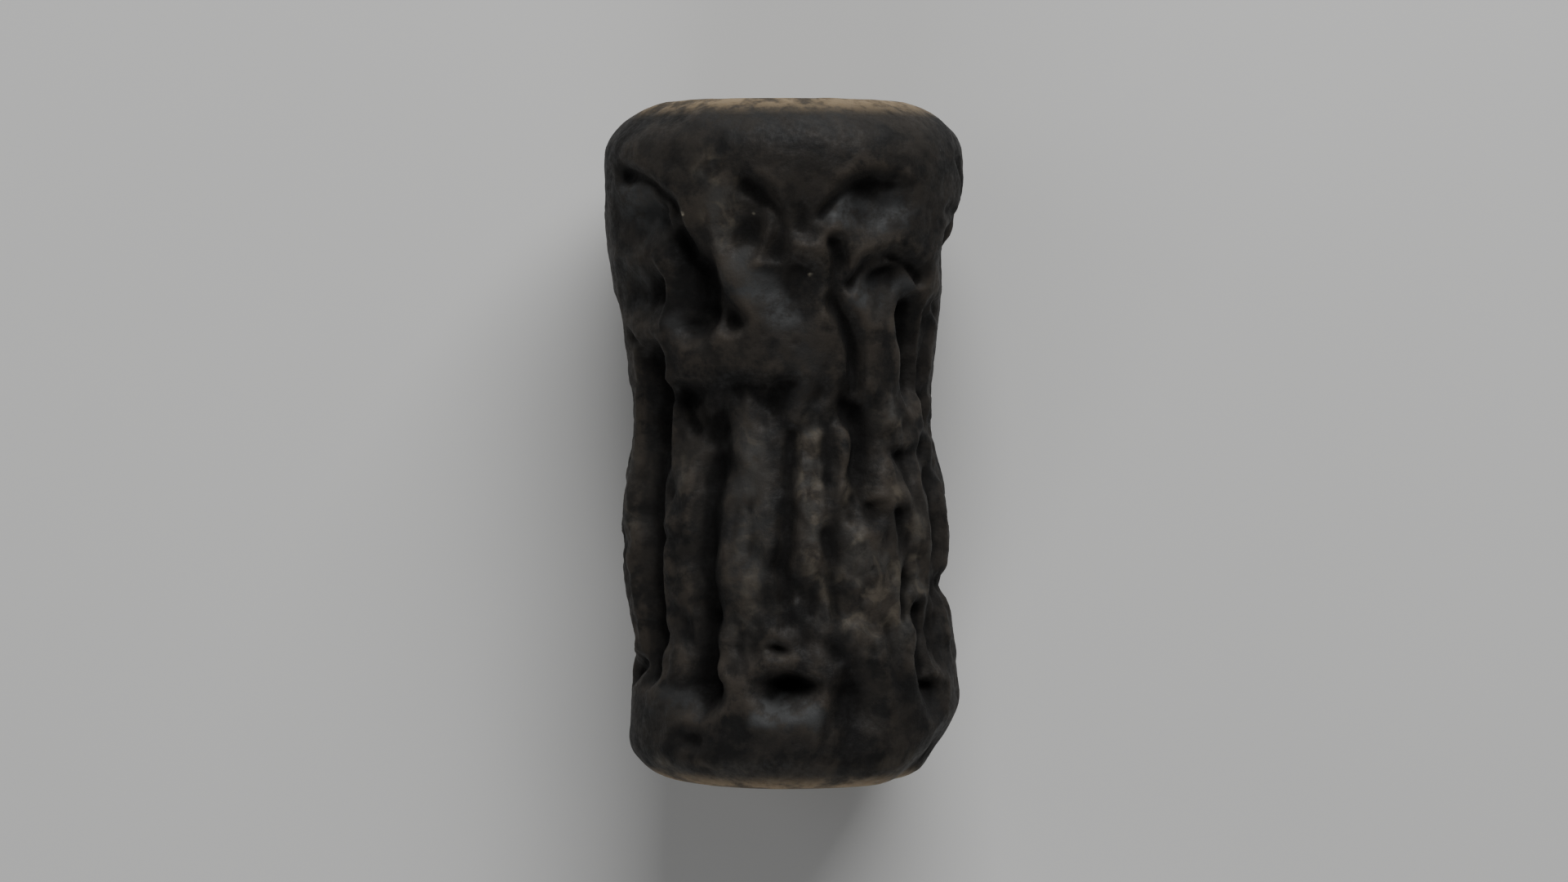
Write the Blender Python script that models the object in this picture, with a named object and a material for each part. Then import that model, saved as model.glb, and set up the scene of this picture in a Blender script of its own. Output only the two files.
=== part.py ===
"""A carved stone cylinder seal, lying on its side, as one solid pierced from end to end.

The stone is drawn upright, as it is looked at: its axis runs up +Z, its front faces -Y, and
a place on its skin is an angle around the stone (in degrees, 0 at the front, growing to the
viewer's right) and a share of its length (0 at the lower end, 1 at the upper end). It is then
laid down with its front up and its upper end towards +Y, and rests on two small worn flats.
"""

import math

import bmesh
import bpy
import numpy as np
from mathutils import Matrix, Vector

MM = 0.001

# The stone before it was carved: a drum with two swollen rims, a waist and a slight belly.
SEAL_LENGTH = 20.5 * MM
TOP_RIM_RADIUS = 5.46 * MM
WAIST_RADIUS = 4.58 * MM
BELLY_RADIUS = 4.96 * MM
PINCH_RADIUS = 4.86 * MM
LOW_RIM_RADIUS = 4.98 * MM

# Where those radii are reached, as shares of the length.
TOP_RIM_AT = 0.895
WAIST_AT = 0.545
BELLY_AT = 0.36
PINCH_AT = 0.25
LOW_RIM_AT = 0.115

# The axis wanders a little to the viewer's right and left: how far, and at which share.
LOW_LEAN = 0.34 * MM
LOW_LEAN_AT = 0.13
UPPER_LEAN = -0.14 * MM
UPPER_LEAN_AT = 0.68
STRAIGHT_AT = (0.0, 0.36, 0.92, 1.0)

# The worn corners: how far each reaches in from the rim, and along the axis, and how full both
# are (2 is a quarter of an ellipse, 1 a plain bevel).
TOP_CORNER_REACH = 1.85 * MM
TOP_CORNER_HEIGHT = 1.5 * MM
LOW_CORNER_REACH = 1.55 * MM
LOW_CORNER_HEIGHT = 1.15 * MM
CORNER_FULLNESS = 1.65

# The hole for a cord or pin, with mouths worn a little wider.
BORE_RADIUS = 1.3 * MM
MOUTH_RADIUS = 1.6 * MM
MOUTH_DEPTH = 0.7 * MM

# The carver's tools: how wide a cut each leaves, and how deep at full strength.
TOOL_WIDTH = {"round": 0.82 * MM, "wide": 1.25 * MM, "broad": 2.1 * MM}
TOOL_DEPTH = {"round": 0.46 * MM, "wide": 0.48 * MM, "broad": 0.42 * MM}
CUT_WEAR = 1.6  # how far wear has opened out a cut, as a share of its width
CUT_BLEND = 3.0  # how softly two cuts that meet run together
CURVE_STEPS = 4  # straight steps between two points of a curved cut
FOOT_HEIGHT = 0.84 * MM
FOOT_DEPTH = 0.55 * MM
DISH_REACH = 1.0 * MM  # how far a dish of reach 1 runs from its bottom to its edge
SHORTEST_WALL = 0.5 * MM  # the shortest run of a dish's wall, as worn as the rest

# The flats that it lies on: how much of each rim is worn away.
FLAT_DEPTH = 0.14 * MM

# How finely the skin is divided.
STEPS_AROUND = 90
ROWS_ON_SIDE = 43
ROWS_ON_CORNER = 3

STONE_COLOUR = (0.022, 0.020, 0.018, 1.0)
STONE_ROUGHNESS = 0.55


def ease(t):
    """0 to 1 with level ends."""
    t = np.clip(t, 0.0, 1.0)
    return t * t * (3.0 - 2.0 * t)


def eased_between(stations, share):
    """The value at each share, running smoothly from one station to the next and level at each."""
    share = np.asarray(share, float)
    value = np.full(share.shape, stations[0][1])
    for (low, before), (high, after) in zip(stations, stations[1:]):
        value = np.where(share >= low, before + (after - before) * ease((share - low) / (high - low)), value)
    return value


def body_radius(share):
    """The uncarved stone's radius between its corners."""
    return eased_between(
        [
            (LOW_RIM_AT, LOW_RIM_RADIUS),
            (PINCH_AT, PINCH_RADIUS),
            (BELLY_AT, BELLY_RADIUS),
            (WAIST_AT, WAIST_RADIUS),
            (TOP_RIM_AT, TOP_RIM_RADIUS),
        ],
        share,
    )


def axis_lean(share):
    """How far the axis stands to the viewer's right at each share of the length."""
    foot, belly, neck, crown = STRAIGHT_AT
    stations = [
        (foot, LOW_LEAN * 0.6),
        (LOW_LEAN_AT, LOW_LEAN),
        (belly, 0.0),
        (UPPER_LEAN_AT, UPPER_LEAN),
        (neck, 0.0),
        (crown, 0.0),
    ]
    return eased_between(stations, share)


def rounded_line(points):
    """The points with a smooth curve run through them."""
    spots = [np.array(point, float) for point in (points[0],) + points + (points[-1],)]
    curve = [tuple(points[0])]
    for before, start, end, after in zip(spots, spots[1:], spots[2:], spots[3:]):
        for step in range(1, CURVE_STEPS + 1):
            t = step / CURVE_STEPS
            bend = (2.0 * before - 5.0 * start + 4.0 * end - after) * t
            bend += (3.0 * start - before - 3.0 * end + after) * t * t
            curve.append(tuple(start + (end - before + bend) * t / 2.0))
    return curve


def groove(tool, strength, *points):
    """A cut drawn through points (angle in degrees, share of the length) with one tool."""
    line = rounded_line(points) if len(points) > 2 else list(points)
    return {"points": line, "width": TOOL_WIDTH[tool], "depth": TOOL_DEPTH[tool] * strength}


def foot(angle, share, half_angle, strength=1.0, rise=0.0):
    """A foot: a short level cut, deep and blunt, that may rise towards the viewer's right."""
    return {
        "points": ((angle - half_angle, share - rise / 2), (angle + half_angle, share + rise / 2)),
        "width": FOOT_HEIGHT,
        "depth": FOOT_DEPTH * strength,
    }


def hollow(strength, deepest, sideways, upright):
    """A scooped dish, for a head or a chest, and how far it runs left, right, up and down from its bottom."""
    return {
        "middle": deepest,
        "sideways": [max(reach * DISH_REACH, SHORTEST_WALL) for reach in sideways],
        "upright": [max(reach * DISH_REACH, SHORTEST_WALL) for reach in upright],
        "depth": TOOL_DEPTH["broad"] * strength,
    }


def robe(strength, left, right, top, hem, flare_left=0.0, flare_right=0.0):
    """A robe's sunk panel between two angles, from its top to its hem, where it may flare."""
    return {
        "corners": (left, right, top, hem, flare_left, flare_right),
        "depth": TOOL_DEPTH["broad"] * strength,
    }


def front_worshipper():
    """The figure on the front: two plumes, a bent arm, a sunk chest and head, and a long robe."""
    return [
        hollow(1.35, (-46, 0.828), (1.7, 0.4), (0.9, 1.2)),
        groove("round", 0.80, (-63, 0.892), (-49, 0.876), (-39, 0.840), (-37, 0.777), (-41, 0.700)),
        hollow(1.50, (-50, 0.722), (1.7, 0.4), (0.9, 0.8)),
        hollow(2.20, (-27, 0.700), (1.55, 0.5), (1.9, 0.6)),
        groove("wide", 1.70, (-40, 0.795), (-34, 0.757), (-27, 0.712)),
        groove("round", 1.15, (-30, 0.757), (-23, 0.712), (-18, 0.680)),
        hollow(1.80, (-11, 0.830), (1.3, 0.4), (0.9, 1.0)),
        groove("round", 1.30, (-14, 0.875), (-8, 0.852), (-4, 0.820), (-2, 0.785)),
        hollow(1.30, (7, 0.742), (1.2, 0.75), (0.5, 1.4)),
        hollow(1.40, (6, 0.806), (0.8, 0.8), (1.3, 0.28)),
        groove("round", 0.80, (19, 0.790), (20, 0.719), (25, 0.669), (29, 0.619), (30, 0.580)),
        robe(0.80, -60, 31, 0.604, 0.12, flare_left=4, flare_right=-8),
        hollow(1.15, (-6, 0.580), (1.9, 1.7), (0.4, 1.3)),
        hollow(1.60, (-38, 0.576), (1.2, 1.2), (0.35, 2.3)),
        groove("wide", 1.70, (-57, 0.620), (-60, 0.455), (-60, 0.304), (-63, 0.180)),
        groove("wide", 1.75, (-28, 0.540), (-30, 0.405), (-32, 0.279), (-36, 0.160)),
        groove("round", 1.15, (4, 0.510), (1, 0.405), (0, 0.284)),
        hollow(2.20, (-5, 0.162), (0.95, 0.95), (0.5, 0.8)),
        hollow(1.35, (-37, 0.152), (1.2, 0.8), (0.3, 0.7)),
        hollow(1.30, (20, 0.135), (0.4, 0.9), (0.9, 1.9)),
    ]


def offering_stand():
    """The marks between the front figure and the next: an upright thing on a small foot."""
    return [
        groove("round", 0.70, (-97, 0.920), (-94, 0.865), (-98, 0.825)),
        groove("round", 0.85, (-99, 0.720), (-93, 0.683), (-88, 0.645)),
        hollow(1.00, (-85, 0.665), (0.5, 0.5), (0.9, 0.9)),
        foot(-79, 0.166, 6, 0.85, rise=0.01),
        hollow(0.80, (-90, 0.205), (0.8, 0.8), (0.9, 0.6)),
    ]


def left_deity():
    """The figure to the left: an arched crown over an arched brow, and a wide flounced robe."""
    return [
        groove("round", 0.80, (-154, 0.878), (-145, 0.902), (-136, 0.898), (-128, 0.882)),
        groove("round", 0.60, (-149, 0.773), (-138, 0.795), (-128, 0.780), (-122, 0.758)),
        hollow(1.10, (-138, 0.740), (1.2, 1.2), (0.45, 1.0)),
        robe(0.75, -150, -94, 0.620, 0.16, flare_left=14, flare_right=-8),
        groove("round", 0.75, (-149, 0.561), (-157, 0.546), (-161, 0.463), (-165, 0.366), (-171, 0.235)),
        groove("round", 0.65, (-96, 0.561), (-98, 0.463), (-102, 0.366), (-108, 0.270)),
        groove("wide", 0.75, (-141, 0.315), (-134, 0.320), (-127, 0.338)),
        foot(-151, 0.127, 8),
        foot(-107, 0.132, 8, 0.85, rise=0.015),
        foot(178, 0.222, 6, 0.95),
    ]


def back_deity():
    """The figure at the back: a hooked crown, a heavy forearm and a skirt cut off at a hem."""
    return [
        groove("round", 1.00, (98, 0.751), (97, 0.810), (99, 0.863), (107, 0.888), (118, 0.893), (129, 0.88)),
        groove("round", 0.95, (104, 0.776), (113, 0.790), (122, 0.772)),
        groove("wide", 0.55, (74, 0.775), (84, 0.810), (94, 0.850)),
        groove("wide", 0.85, (112, 0.556), (126, 0.566), (139, 0.584), (150, 0.596)),
        groove("round", 0.70, (147, 0.658), (155, 0.644), (162, 0.629)),
        groove("round", 0.80, (160, 0.739), (171, 0.739)),
        robe(0.85, 111, 154, 0.520, 0.255, flare_left=1, flare_right=-14),
        groove("wide", 0.85, (174, 0.556), (165, 0.488), (158, 0.420), (150, 0.346), (141, 0.295)),
        groove("round", 0.90, (116, 0.280), (138, 0.280)),
        groove("round", 0.50, (112, 0.463), (104, 0.405), (96, 0.341), (88, 0.273)),
        groove("round", 0.70, (116, 0.205), (116, 0.146), (121, 0.127)),
    ]


def right_worshipper():
    """The figure to the right: a broad sunk head, a scooped shoulder, an arm and a folded robe."""
    return [
        hollow(1.55, (28, 0.868), (0.95, 1.2), (0.3, 1.4)),
        hollow(1.75, (40, 0.748), (1.1, 0.95), (0.3, 1.1)),
        groove("wide", 1.40, (55, 0.690), (59, 0.640), (60, 0.590)),
        groove("round", 0.65, (68, 0.690), (70, 0.615), (72, 0.546)),
        groove("round", 0.65, (76, 0.700), (80, 0.695)),
        hollow(1.35, (86, 0.812), (1.2, 1.0), (0.4, 2.0)),
        groove("round", 0.65, (76, 0.290), (98, 0.286)),
        groove("wide", 1.20, (25, 0.556), (32, 0.526), (33, 0.475), (28, 0.420)),
        hollow(0.90, (52, 0.484), (0.8, 0.8), (0.3, 0.8)),
        groove("round", 0.50, (46, 0.400), (49, 0.330), (47, 0.254)),
        groove("wide", 0.65, (68, 0.480), (72, 0.341), (66, 0.200)),
        groove("round", 0.80, (56, 0.250), (54, 0.160)),
        hollow(1.20, (57, 0.143), (0.6, 0.7), (0.25, 0.7)),
    ]


def chips():
    """Old losses: the lower corner knocked off at the right, and dents in the upper one."""
    return [
        groove("broad", 1.20, (62, 0.025), (88, 0.045), (112, 0.025)),
        groove("wide", 0.45, (-62, 0.972), (-40, 0.985)),
        groove("wide", 0.40, (118, 0.970), (142, 0.978), (158, 0.970)),
    ]


def flat_offsets(angle, share, point):
    """How far skin points lie from one point, along the skin: across and up, in metres."""
    across = np.radians((angle - point[0] + 180.0) % 360.0 - 180.0) * BELLY_RADIUS
    return across, (share - point[1]) * SEAL_LENGTH


def distance_to_line(angle, share, points):
    """The distance along the skin from each place to a line through the points."""
    nearest = np.full(angle.shape, np.inf)
    for start, end in zip(points, points[1:]):
        across, up = flat_offsets(angle, share, start)
        run = math.radians(end[0] - start[0]) * BELLY_RADIUS
        rise = (end[1] - start[1]) * SEAL_LENGTH
        along = np.clip((across * run + up * rise) / (run * run + rise * rise), 0.0, 1.0)
        nearest = np.minimum(nearest, np.hypot(across - along * run, up - along * rise))
    return nearest


def panel_shape(angle, share, corners):
    """1 inside a robe's panel, falling to 0 at its sides and top, and fading out above its hem."""
    left, right, top, hem, flare_left, flare_right = corners
    down = np.clip((top - share) / (top - hem), 0.0, 1.0)
    half = ((right + flare_right * down) - (left - flare_left * down)) / 2.0
    middle = ((right + flare_right * down) + (left - flare_left * down)) / 2.0
    from_middle = np.abs((angle - middle + 180.0) % 360.0 - 180.0)
    side = ease(np.radians(half - from_middle) * BELLY_RADIUS / TOOL_WIDTH["round"])
    return side * ease((top - share) * SEAL_LENGTH / TOOL_WIDTH["round"]) * ease((1.0 - down) * 3.0)


def cut_shape(angle, share, cut):
    """1 along the bottom of a cut, falling to 0 at its edge."""
    if "corners" in cut:
        return panel_shape(angle, share, cut["corners"])
    if "middle" in cut:
        across, up = flat_offsets(angle, share, cut["middle"])
        left, right = cut["sideways"]
        above, below = cut["upright"]
        sideways = across / np.where(across < 0.0, left, right)
        off = np.hypot(sideways, up / np.where(up > 0.0, above, below)) / CUT_WEAR
    else:
        off = distance_to_line(angle, share, cut["points"]) / (cut["width"] / 2.0 * CUT_WEAR)
    return 1.0 - ease(off)


def carved_depth(angle, share):
    """How deep the carving is at each angle and share of the length, in metres."""
    cuts = front_worshipper() + offering_stand() + left_deity() + back_deity() + right_worshipper() + chips()
    total = np.zeros(angle.shape)
    for cut in cuts:
        total += (cut["depth"] * cut_shape(angle, share, cut)) ** CUT_BLEND
    return total ** (1.0 / CUT_BLEND)


def corner_curve(part):
    """A worn corner from the end face (0) to the side (1): how far in and how far on it still has to go."""
    turn = math.pi / 2 * part
    power = 2.0 / CORNER_FULLNESS
    return 1.0 - math.sin(turn) ** power, 1.0 - math.cos(turn) ** power


def half_section():
    """The uncarved stone's outline from the lower mouth of the hole, up the side, and back down the hole."""
    low_start = LOW_CORNER_HEIGHT / SEAL_LENGTH
    top_start = 1.0 - TOP_CORNER_HEIGHT / SEAL_LENGTH
    low_radius = float(body_radius(low_start))
    top_radius = float(body_radius(top_start))
    points = [(MOUTH_RADIUS, 0.0)]
    for row in range(ROWS_ON_CORNER):
        inward, down = corner_curve(row / ROWS_ON_CORNER)
        points.append((low_radius - LOW_CORNER_REACH * inward, LOW_CORNER_HEIGHT * down))
    for row in range(ROWS_ON_SIDE + 1):
        share = low_start + (top_start - low_start) * row / ROWS_ON_SIDE
        points.append((float(body_radius(share)), share * SEAL_LENGTH))
    for row in range(1, ROWS_ON_CORNER + 1):
        inward, down = corner_curve(1.0 - row / ROWS_ON_CORNER)
        points.append((top_radius - TOP_CORNER_REACH * inward, SEAL_LENGTH - TOP_CORNER_HEIGHT * down))
    points.append((MOUTH_RADIUS, SEAL_LENGTH))
    points.append((BORE_RADIUS, SEAL_LENGTH - MOUTH_DEPTH))
    points.append((BORE_RADIUS, MOUTH_DEPTH))
    return points


def turned_stone(bm):
    """Spins the outline once round the axis."""
    corners = [bm.verts.new((0.0, -radius, height)) for radius, height in half_section()]
    edges = [bm.edges.new((corners[i], corners[(i + 1) % len(corners)])) for i in range(len(corners))]
    bmesh.ops.spin(
        bm,
        geom=corners + edges,
        cent=(0.0, 0.0, 0.0),
        axis=(0.0, 0.0, 1.0),
        angle=2.0 * math.pi,
        steps=STEPS_AROUND,
        use_merge=True,
    )
    bmesh.ops.recalc_face_normals(bm, faces=bm.faces)


def carve(bm):
    """Moves the skin in by the depth of the carving, and lets the axis wander; the flat ends stay flat."""
    place = np.array([vert.co for vert in bm.verts])
    share = place[:, 2] / SEAL_LENGTH
    radius = np.hypot(place[:, 0], place[:, 1])
    angle = np.degrees(np.arctan2(place[:, 0], -place[:, 1]))
    low_face = float(body_radius(LOW_CORNER_HEIGHT / SEAL_LENGTH)) - LOW_CORNER_REACH
    top_face = float(body_radius(1.0 - TOP_CORNER_HEIGHT / SEAL_LENGTH)) - TOP_CORNER_REACH
    face = np.where(share < 0.5, low_face, top_face)
    reach = np.where(share < 0.5, LOW_CORNER_REACH, TOP_CORNER_REACH)
    free = ease((radius - face) / reach * 1.6)
    scale = 1.0 - carved_depth(angle, share) * free / radius
    lean = axis_lean(share)
    for vert, shrink, aside in zip(bm.verts, scale, lean):
        vert.co.x = vert.co.x * shrink + aside
        vert.co.y *= shrink
    bmesh.ops.triangulate(bm, faces=bm.faces, quad_method="SHORT_EDGE")


def lay_down(bm):
    """Lays the stone on its back with both rims down, and wears a flat on each where it rests."""
    rims_apart = (TOP_RIM_AT - LOW_RIM_AT) * SEAL_LENGTH
    tilt = math.atan((TOP_RIM_RADIUS - LOW_RIM_RADIUS) / rims_apart)
    turn = Matrix.Rotation(tilt - math.pi / 2, 4, "X")
    bmesh.ops.transform(bm, matrix=turn, verts=bm.verts)
    low_rim = turn @ Vector((0.0, LOW_RIM_RADIUS, LOW_RIM_AT * SEAL_LENGTH))
    floor = low_rim.z + FLAT_DEPTH
    bmesh.ops.translate(bm, vec=(0.0, 0.0, -floor), verts=bm.verts)
    cut = bmesh.ops.bisect_plane(
        bm,
        geom=bm.verts[:] + bm.edges[:] + bm.faces[:],
        dist=1e-7,
        plane_co=(0.0, 0.0, 0.0),
        plane_no=(0.0, 0.0, -1.0),
        clear_outer=True,
    )
    rim = [item for item in cut["geom_cut"] if isinstance(item, bmesh.types.BMEdge)]
    bmesh.ops.triangle_fill(bm, edges=rim, normal=(0.0, 0.0, -1.0), use_beauty=True)
    bmesh.ops.recalc_face_normals(bm, faces=bm.faces)


def centre_on_footprint(bm):
    """Slides the stone so that its box stands centred over the origin."""
    place = np.array([vert.co for vert in bm.verts])
    middle = (place.max(axis=0) + place.min(axis=0)) / 2.0
    bmesh.ops.translate(bm, vec=(-middle[0], -middle[1], 0.0), verts=bm.verts)


def stone_material():
    """Plain black stone."""
    material = bpy.data.materials.new("black_stone")
    material.use_nodes = True
    shader = material.node_tree.nodes["Principled BSDF"]
    shader.inputs["Base Color"].default_value = STONE_COLOUR
    shader.inputs["Roughness"].default_value = STONE_ROUGHNESS
    shader.inputs["Metallic"].default_value = 0.0
    return material


def make_seal():
    """The carved stone, its one piece."""
    bm = bmesh.new()
    turned_stone(bm)
    carve(bm)
    lay_down(bm)
    centre_on_footprint(bm)
    mesh = bpy.data.meshes.new("seal_stone")
    bm.to_mesh(mesh)
    bm.free()
    mesh.materials.append(stone_material())
    mesh.shade_smooth()
    mesh.set_sharp_from_angle(angle=math.radians(75))
    seal = bpy.data.objects.new("seal_stone", mesh)
    bpy.context.scene.collection.objects.link(seal)
    return seal


for leftover in list(bpy.data.objects):
    bpy.data.objects.remove(leftover)
make_seal()
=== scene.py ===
"""The look of a small carved cylinder seal of black stone, lying on a pale floor.

The stone is drawn upright, as it is looked at: its axis runs up +Z, its front faces -Y, and
a place on its skin is an angle around the stone (in degrees, 0 at the front, growing to the
viewer's right) and a share of its length (0 at the lower end, 1 at the upper end). It is then
laid down with its front up and its upper end towards +Y, in the place of the plain solid.
"""

import itertools
import math

import bmesh
import bpy
import numpy as np
from mathutils import Matrix, Vector


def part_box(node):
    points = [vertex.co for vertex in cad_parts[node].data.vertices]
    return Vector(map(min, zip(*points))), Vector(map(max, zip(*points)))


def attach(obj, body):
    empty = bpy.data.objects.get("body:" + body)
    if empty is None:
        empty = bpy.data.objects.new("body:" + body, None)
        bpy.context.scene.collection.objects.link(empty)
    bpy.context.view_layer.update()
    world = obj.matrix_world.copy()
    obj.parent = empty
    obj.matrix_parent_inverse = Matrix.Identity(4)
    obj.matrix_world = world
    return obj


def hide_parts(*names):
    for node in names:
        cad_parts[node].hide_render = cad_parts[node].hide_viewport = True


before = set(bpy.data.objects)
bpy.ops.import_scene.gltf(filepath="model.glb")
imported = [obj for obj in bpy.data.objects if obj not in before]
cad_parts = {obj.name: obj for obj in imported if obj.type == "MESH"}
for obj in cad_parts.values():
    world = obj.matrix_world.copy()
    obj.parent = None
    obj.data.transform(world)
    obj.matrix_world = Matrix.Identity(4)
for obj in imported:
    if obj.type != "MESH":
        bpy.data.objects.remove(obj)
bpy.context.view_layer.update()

bl_info = {
    "name": "Carved cylinder seal",
    "version": (1, 0, 0),
    "blender": (4, 5, 0),
    "location": "View3D > Sidebar > Seal",
    "description": "Carves a worn cylinder seal of black stone and sets it on a plain stage",
    "category": "Object",
}

MM = 0.001
NODE = "seal_stone"

# The stone before it was carved: a drum with two swollen rims, a waist and a slight belly.
SEAL_LENGTH = 20.5 * MM
TOP_RIM_RADIUS = 5.46 * MM
WAIST_RADIUS = 4.58 * MM
BELLY_RADIUS = 4.96 * MM
PINCH_RADIUS = 4.86 * MM
LOW_RIM_RADIUS = 4.98 * MM

# Where those radii are reached, as shares of the length.
TOP_RIM_AT = 0.895
WAIST_AT = 0.545
BELLY_AT = 0.36
PINCH_AT = 0.25
LOW_RIM_AT = 0.115

# The axis wanders a little to the viewer's right and left: how far, and at which share, and how much of the
# lower lean is left at the lower end.
LOW_LEAN = 0.34 * MM
LOW_LEAN_AT = 0.13
LOW_END_LEAN = 0.6
UPPER_LEAN = -0.14 * MM
UPPER_LEAN_AT = 0.68
STRAIGHT_AT = (0.0, 0.36, 0.92, 1.0)

# The worn corners: how far each reaches in from the rim, and along the axis, and how full both
# are (2 is a quarter of an ellipse, 1 a plain bevel).
TOP_CORNER_REACH = 1.85 * MM
TOP_CORNER_HEIGHT = 1.5 * MM
LOW_CORNER_REACH = 1.55 * MM
LOW_CORNER_HEIGHT = 1.15 * MM
CORNER_FULLNESS = 1.65

# The hole for a cord or pin, with mouths worn a little wider.
BORE_RADIUS = 1.3 * MM
MOUTH_RADIUS = 1.6 * MM
MOUTH_DEPTH = 0.7 * MM

# The carver's tools: how wide a cut each leaves, and how deep at full strength, and the same for a foot.
TOOL_WIDTH = {"fine": 0.42 * MM, "slim": 0.6 * MM, "round": 0.82 * MM, "wide": 1.25 * MM, "broad": 2.1 * MM}
TOOL_DEPTH = {"fine": 0.2 * MM, "slim": 0.36 * MM, "round": 0.46 * MM, "wide": 0.48 * MM, "broad": 0.42 * MM}
FOOT_HEIGHT = 0.84 * MM
FOOT_DEPTH = 0.55 * MM

# The length that a dish's reaches are counted in.
DISH_REACH = 1.0 * MM

# How many times wider wear has made each cut, how firmly the deepest of the cuts that meet wins, and the
# number of short runs that a curved cut has between two of its points.
CUT_WEAR = 1.6
CUT_BLEND = 3.0
CURVE_STEPS = 5

# The flats that it lies on: how much of each rim is worn away.
FLAT_DEPTH = 0.14 * MM

# How the skin is divided: the rows on each end face, how much closer the rows on the corners are, how often
# the outline is evened, and how many fewer steps around there are than would fit.
END_ROWS = 8
CORNER_ROW_CLOSENESS = 1.25
OUTLINE_ROUNDS = 30
STEPS_SPARED = 16

# Where each mouth of the hole bends on its way in, as shares of how far it narrows and how deep it is.
MOUTH_BEND_IN = 0.3
MOUTH_BEND_DOWN = 0.4

# The hole and its mouths stay smooth: the wear starts this far out, and is full after that much more, in
# radii of the mouth.
WEAR_STARTS = 1.15
WEAR_FADE = 0.8

# The grain of the wear: how big its lumps are.
EDGE_GRAIN = 1.5 * MM
FINE_EDGE_GRAIN = 0.6 * MM
CUT_GRAIN = 0.9 * MM
WIDE_CUT_GRAIN = 2.2 * MM
FOLD_GRAIN = 0.7 * MM
LUMP_GRAIN = 0.8 * MM
WEAR_GRAIN = 2.4 * MM
RIPPLE_GRAIN = 0.55 * MM
FINE_RIPPLE_GRAIN = 0.26 * MM
SCUFF_GRAIN = 0.9 * MM

# How strong that grain is: as shares of the cuts' depth and of the wear's, and in metres on the end faces.
CUT_UNEVENNESS = 0.3
BROAD_WEAR = 0.7
RIPPLE = 0.3
FINE_RIPPLE = 0.12
WEAR_MIDDLE = 0.45
SCUFF_DEPTH = 0.05 * MM

# The folds of the robes, in shares of the length: where they start and end, and how gently. Then how much
# their grain is squeezed along the stone, which draws it out.
FOLDS_TOP = 0.62
FOLDS_TOP_FADE = 0.06
FOLDS_HEM = 0.13
FOLDS_HEM_FADE = 0.08
FOLD_STRETCH = 0.22

# The lumps between the cuts: how drawn out they are, how strong away from the robes, and how far they are
# shifted down and allowed to stand out.
LUMP_STRETCH = 0.7
LUMPS_ELSEWHERE = 0.25
LUMP_SHIFT = 0.1
LUMP_RISE = -0.2

# Small and smaller pits: how far apart they are, the share of places that has one, and how wide they are.
PIT_SPACING = 1.5 * MM
PITS_FILLED = 0.5
PIT_WIDTH = 0.2 * MM
SMALL_PIT_SPACING = 0.8 * MM
SMALL_PITS_FILLED = 0.35
SMALL_PIT_WIDTH = 0.11 * MM
SMALL_PIT_DEPTH = 0.5

# How far the patches of other colours stray from where they are drawn, and the grain of that.
PATCH_WANDER = 0.35 * MM
PATCH_GRAIN = 0.7 * MM

# The coarse map that tells how deep the skin is cut around each place: a column for each degree, its rows,
# and how many cells and rounds of averaging soften it.
MAP_ROWS = 240
MAP_REACH = 6
MAP_ROUNDS = 3

# How wide the surroundings are that a point may stand out of, in rounds of averaging.
PROUD_ROUNDS = 24

# The tan wear of the ends, brightened to a painted rim highlight: how far up the corner it runs, from what
# radius and over how much it fades in, and how much of it is left inside.
END_WEAR_HEIGHT = 0.6 * MM
END_WEAR_RADIUS = 2.9 * MM
END_WEAR_FADE = 0.9 * MM
END_WEAR_INSIDE = 0.1

# The stage: how far the floor reaches and how far below the stone it lies, three soft lights (place, size,
# power) and a faint room.
FLOOR_REACH = 0.6
FLOOR_DROP = 0.02 * MM
TOP_LIGHT = ((0.045, 0.155, 0.125), (0.16, 0.11), 0.51)
LEFT_FILL = ((-0.17, 0.05, 0.07), (0.1, 0.1), 0.045)
LOW_FILL = ((-0.03, -0.16, 0.08), (0.12, 0.08), 0.12)
ROOM_COLOUR = (0.9, 0.93, 1.0, 1.0)
ROOM_STRENGTH = 0.05

# The camera: its lens and sensor in millimetres, how near and far it sees, how many times the seal's length
# the picture is high, at what share of the seal's height, and the picture's height for its width.
CAMERA_LENS = 100.0
CAMERA_SENSOR = 36.0
CAMERA_RANGE = (0.001, 10.0)
CAMERA_VIEW = 1.28
VIEW_LEVEL = 0.6
PICTURE_SHAPE = 9.0 / 16.0


def ease(t):
    """0 to 1 with level ends."""
    t = np.clip(t, 0.0, 1.0)
    return t * t * (3.0 - 2.0 * t)


def eased_between(stations, share):
    """The value at each share, running smoothly from one station to the next and level at each."""
    share = np.asarray(share, float)
    value = np.full(share.shape, stations[0][1])
    for (low, before), (high, after) in zip(stations, stations[1:]):
        value = np.where(share >= low, before + (after - before) * ease((share - low) / (high - low)), value)
    return value


def body_radius(share):
    """The uncarved stone's radius between its corners."""
    return eased_between(
        [
            (LOW_RIM_AT, LOW_RIM_RADIUS),
            (PINCH_AT, PINCH_RADIUS),
            (BELLY_AT, BELLY_RADIUS),
            (WAIST_AT, WAIST_RADIUS),
            (TOP_RIM_AT, TOP_RIM_RADIUS),
        ],
        share,
    )


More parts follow.
